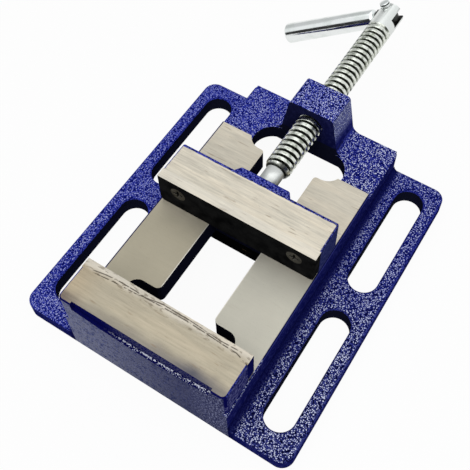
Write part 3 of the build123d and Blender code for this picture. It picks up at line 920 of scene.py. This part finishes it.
def revolved(name, places, radii, origin, axis, columns=72):
    """Shell round an axis. A point is origin + axis * place + radius * (a cos t + b sin t), where
    a and b are square to the axis. The first and last rings are closed with a face."""
    axis = np.array(Vector(axis).normalized())
    first = np.cross(axis, (0.0, 0.0, 1.0) if abs(axis[2]) < 0.9 else (1.0, 0.0, 0.0))
    first = first / np.linalg.norm(first)
    second = np.cross(axis, first)
    turn = np.linspace(0, 2 * np.pi, columns, endpoint=False)
    ring = first * np.cos(turn)[:, None] + second * np.sin(turn)[:, None]
    along = axis * np.asarray(places)[:, None, None]
    points = np.array(origin) + along + ring * np.asarray(radii)[:, None, None]
    mesh = outward(grid_mesh(name, points))
    smooth_by_angle(mesh, degrees=40)
    return mesh


def rounding(place, radius, size, start, end):
    """Quarter round about a centre, from one angle to another, as places and radii."""
    angle = np.radians(np.linspace(start, end, rounding_steps))
    return place + size * np.cos(angle), radius + size * np.sin(angle)


def lever_mesh():
    """Bar that widens towards its free end, round at the shoulder and at the tip."""
    shoulder, tip = lever_shoulder_round, lever_tip_round
    shoulder_arc = rounding(lever_shoulder + shoulder, lever_root - shoulder, shoulder, 180, 90)
    tip_arc = rounding(lever_length - tip, lever_tip - tip, tip, 90, 0)
    places, radii = np.concatenate([shoulder_arc, tip_arc], axis=1)
    return revolved("lever_bar", places, radii, pivot, lever_way)


def pin_mesh():
    """Pivot pin: plain shank, head with a groove round it and a shallow dome."""
    groove = pin_head_bottom + pin_groove_height
    rim = groove + 2 * pin_groove_depth
    angle = np.radians(np.linspace(0, 88, pin_dome_steps))[1:]
    places = [-pin_tail, -pin_tail + pin_tail_chamfer, pin_head_bottom, pin_head_bottom, groove,
              groove + pin_groove_depth, rim]
    radii = [pin_shank - pin_tail_chamfer, pin_shank, pin_shank, pin_head, pin_head,
             pin_head - pin_groove_depth, pin_head]
    places = np.concatenate([places, rim + (pin_head_top - rim) * np.sin(angle)])
    radii = np.concatenate([radii, pin_head * np.cos(angle)])
    return revolved("pin_dome", places, radii, pivot, pin_axis, 64)


def plate_screw_mesh(name, face, direction):
    """Countersunk screw along X. The top is a disc of rings whose points sink by the cross depth
    where they lie on an arm: near one of two crossed lines and not past the reach. The cone and
    the shank follow as more rings, and a face closes the end."""
    recess_rings = np.linspace(cross_middle, plate_screw_head, cross_rings)
    rings = np.concatenate([recess_rings, [plate_screw_shank, plate_screw_shank]])
    cone = plate_screw_head - plate_screw_shank
    depth = np.concatenate([np.zeros(cross_rings), [cone, plate_screw_length]])
    turn = np.linspace(0, 2 * np.pi, cross_ring_points, endpoint=False) + plate_screw_turn
    one, two = rings[:, None] * np.cos(turn), rings[:, None] * np.sin(turn)
    near_arm = np.minimum(np.abs(one), np.abs(two))
    wall = np.clip((cross_half_width - near_arm) / cross_wall_slope + 0.5, 0, 1)
    reach = np.clip((cross_reach - rings[:, None]) / cross_end_slope + 0.5, 0, 1)
    sink = cross_depth * wall * reach * (np.arange(len(rings)) < cross_rings)[:, None]
    x = face.x + direction * (depth[:, None] + sink)
    points = np.stack([np.broadcast_to(x, one.shape), face.y + one, face.z + two], axis=-1)
    mesh = outward(grid_mesh(name, points))
    smooth_by_angle(mesh, degrees=30)
    return mesh


# The lever points square to the screw, folded towards the base, in the plane square to the pin
along_screw = Vector((1, 0, 0))
square = pin_axis.cross(along_screw)
lever_way = (square * math.cos(lever_fold) - along_screw * math.sin(lever_fold)).normalized()

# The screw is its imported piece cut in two, with the thread between the cuts
head_cut = ((thread_end, 0, 0), (-1, 0, 0))
neck_cut = ((thread_start, 0, 0), (1, 0, 0))
tongue_cut = (pivot + lever_way * (lever_shoulder + tongue_overlap), lever_way)
head = merged_copy("lead_screw", "screw_head", head_cut)
neck = merged_copy("lead_screw", "screw_neck", neck_cut)
tongue = merged_copy("lever", "lever_tongue", tongue_cut)
washer = merged_copy("pivot_washer", "washer_smooth")
show("screw_thread", thread_mesh(), "screw", zinc_thread, "lead_screw")
show("screw_head", head, "screw", zinc_satin, "lead_screw")
show("screw_neck", neck, "screw", zinc_neck, "lead_screw")
show("lever_bar", lever_mesh(), "folding_lever", zinc_bright, "lever")
show("lever_tongue", tongue, "folding_lever", zinc_shaded, "lever")
show("pin_dome", pin_mesh(), "screw", zinc_pin, "pivot_pin")
show("washer_smooth", washer, "screw", zinc_bright, "pivot_washer")

for side, body, direction in (("fixed", "base", -1), ("moving", "sliding_jaw", 1)):
    for number in (1, 2):
        node_name = f"{side}_plate_screw_{number}"
        low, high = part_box(node_name)
        face = Vector((low.x if direction > 0 else high.x, (low.y + high.y) / 2, (low.z + high.z) / 2))
        name = f"{side}_cross_screw_{number}"
        mesh = plate_screw_mesh(name, face, direction)
        show(name, mesh, body, black_screw_finish, node_name)


# Camera, floor and lamps


def make_camera():
    """Camera at the photograph's place, with its lens and its shifted centre."""
    azimuth, elevation = math.radians(camera_azimuth), math.radians(camera_elevation)
    level = Vector((math.cos(azimuth), math.sin(azimuth), 0))
    ahead = level * math.cos(elevation) - Vector((0, 0, math.sin(elevation)))
    right = Vector((math.sin(azimuth), -math.cos(azimuth), 0))
    right = Matrix.Rotation(math.radians(camera_roll), 3, ahead) @ right
    up = right.cross(ahead)
    data = bpy.data.cameras.new("camera")
    camera = bpy.data.objects.new("camera", data)
    bpy.context.scene.collection.objects.link(camera)
    turn = Matrix((right, up, -ahead)).transposed()
    camera.matrix_world = Matrix.Translation(camera_place) @ turn.to_4x4()
    data.sensor_width = sensor_width
    data.lens = focal_length_pixels * sensor_width / image_size
    data.shift_x = (image_size / 2 - optical_centre[0]) / image_size
    data.shift_y = (optical_centre[1] - image_size / 2) / image_size
    data.clip_start, data.clip_end = 0.01, 20
    bpy.context.scene.camera = camera


def make_floor():
    """Pale floor that the camera sees nearly white, with the object's soft shadow on it."""
    mesh = bpy.data.meshes.new("floor")
    corners = [(x * floor_half_size, y * floor_half_size, floor_level)
               for x, y in ((-1, -1), (1, -1), (1, 1), (-1, 1))]
    mesh.from_pydata(corners, [], [(0, 1, 2, 3)])
    floor = bpy.data.objects.new("floor", mesh)
    bpy.context.scene.collection.objects.link(floor)
    material = bpy.data.materials.new("pale floor")
    material.use_nodes = True
    tree = material.node_tree
    tree.nodes.clear()
    rays = add(tree, "ShaderNodeLightPath").outputs
    seen = largest(tree, rays["Is Camera Ray"], rays["Is Transmission Ray"], rays["Is Glossy Ray"])
    lit = add(tree, "ShaderNodeBsdfDiffuse", {"Color": (0.86, 0.86, 0.86, 1)})
    bright = add(tree, "ShaderNodeEmission", {"Color": (1, 1, 1, 1), "Strength": 1.0})
    share = times(tree, seen, floor_glow)
    mixed = add(tree, "ShaderNodeMixShader", {0: share, 1: lit.outputs[0], 2: bright.outputs[0]})
    add(tree, "ShaderNodeOutputMaterial", {0: mixed.outputs[0]})
    mesh.materials.append(material)


def area_light(name, place, size, power):
    """Soft square lamp aimed at the object."""
    data = bpy.data.lights.new(name, "AREA")
    data.size = size
    data.energy = power
    lamp = bpy.data.objects.new(name, data)
    bpy.context.scene.collection.objects.link(lamp)
    turn = (Vector(lamp_target) - Vector(place)).to_track_quat("-Z", "Y")
    lamp.matrix_world = Matrix.Translation(place) @ turn.to_matrix().to_4x4()


def make_world():
    """White for the camera. For light and reflections a pale room with one dim side, one dark
    panel low down at the left and a grey one at the back, as in a photographer's tent."""
    world = bpy.data.worlds.new("studio")
    bpy.context.scene.world = world
    world.use_nodes = True
    tree = world.node_tree
    tree.nodes.clear()
    rays = add(tree, "ShaderNodeLightPath").outputs
    way = add(tree, "ShaderNodeTexCoord").outputs["Generated"]
    dim, panel, grey = (vector_node(tree, "DOT_PRODUCT", way, middle, "Value")
                        for middle in (dim_side, dark_panel, grey_panel))
    lit = times(tree, falling(tree, dim, (0.66, 0.9), 0.08), falling(tree, panel, (0.905, 0.925), 0.035),
                falling(tree, grey, (0.7, 0.92), 0.66))
    seen = largest(tree, rays["Is Glossy Ray"], rays["Is Transmission Ray"])
    strength = blend_values(tree, seen, room_light, lit)
    soft = add(tree, "ShaderNodeBackground", {"Color": (0.97, 0.985, 1.0, 1), "Strength": strength})
    white = add(tree, "ShaderNodeBackground", {"Color": (1, 1, 1, 1), "Strength": 1.0})
    mixed = {0: rays["Is Camera Ray"], 1: soft.outputs[0], 2: white.outputs[0]}
    mixed = add(tree, "ShaderNodeMixShader", mixed)
    add(tree, "ShaderNodeOutputWorld", {0: mixed.outputs[0]})


make_camera()
make_floor()
make_world()
area_light("key", (0.24, 0.24, 0.84), size=1.15, power=1.5)
area_light("fill", (-0.3, -0.12, 0.9), size=1.0, power=4.3)
bpy.context.scene.view_settings.view_transform = "Standard"
